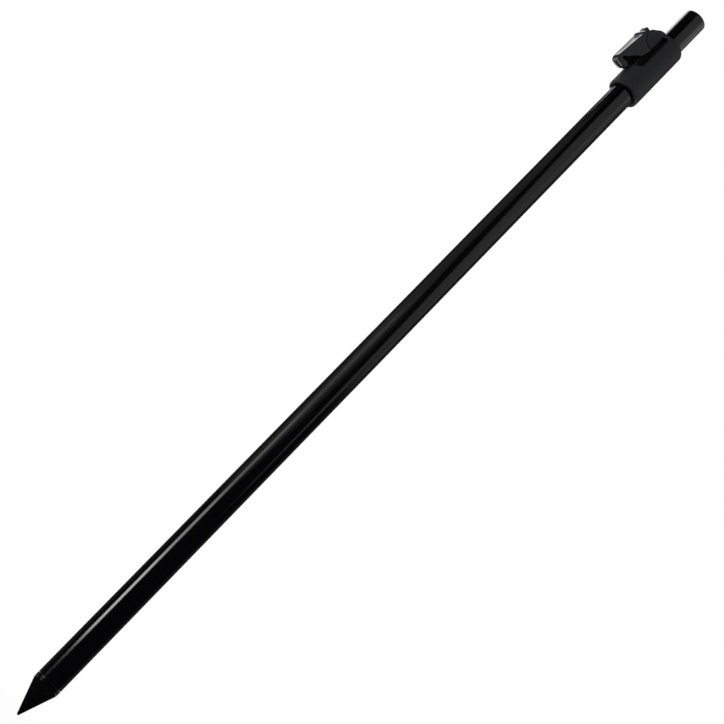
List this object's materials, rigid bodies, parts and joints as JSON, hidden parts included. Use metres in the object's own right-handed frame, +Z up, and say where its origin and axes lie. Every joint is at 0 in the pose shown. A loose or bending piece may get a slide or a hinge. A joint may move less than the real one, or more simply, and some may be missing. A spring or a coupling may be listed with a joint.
{
  "type": "telescopic bank stick",
  "caption": "Telescopic bank stick with a pointed outer tube, a sliding inner tube, a collar with a cam lever, and a threaded socket in its head.",
  "frame": {"origin": "tip of the ground spike", "axes": "+Z up the stick from the tip to the head, -X towards the closed cam lever, +Y completes the frame"},
  "size_m": [0.0323, 0.0216, 0.5939],
  "materials": {
    "black_anodised": "gloss black anodised",
    "collar_matt": "matt black, moulded",
    "lever_gloss": "gloss black, moulded",
    "rubber": "black rubber",
    "nylon": "black nylon",
    "black_steel": "black oxide",
    "brass": "machined"
  },
  "bodies": {
    "stand": {"ground_spike": "black_anodised", "outer_tube": "black_anodised", "wiper_bush": "nylon", "clamp_collar": "collar_matt", "collar_screw": "black_steel", "lever_pin": "black_steel"},
    "lever": {"cam_lever": "lever_gloss"},
    "shoe": {"clamp_shoe": "collar_matt", "shoe_pad": "rubber"},
    "slider": {"stop_bush": "nylon", "stop_ring": "rubber"},
    "mast": {"inner_tube": "black_anodised", "head_cap": "black_anodised", "head_insert": "brass"}
  },
  "joints": [
    {"name": "lever_hinge", "type": "hinge", "parent": "stand", "child": "lever", "pos_m": [-0.0125, 0, 0.5561], "axis": [0, 1, 0], "range_deg": [0, 75]},
    {"name": "shoe_slide", "type": "slide", "parent": "stand", "child": "shoe", "axis": [-1, 0, 0], "range_m": [0, 0.0003]},
    {"name": "mast_slide", "type": "slide", "parent": "stand", "child": "slider", "axis": [0, 0, 1], "range_m": [0, 0.42]},
    {"name": "mast_turn", "type": "hinge", "parent": "slider", "child": "mast", "pos_m": [0, 0, 0.5561], "axis": [0, 0, 1], "continuous": true}
  ],
  "couplings": [
    {"joint": "shoe_slide", "follows": "lever_hinge", "m_per_rad": 0.00022}
  ]
}
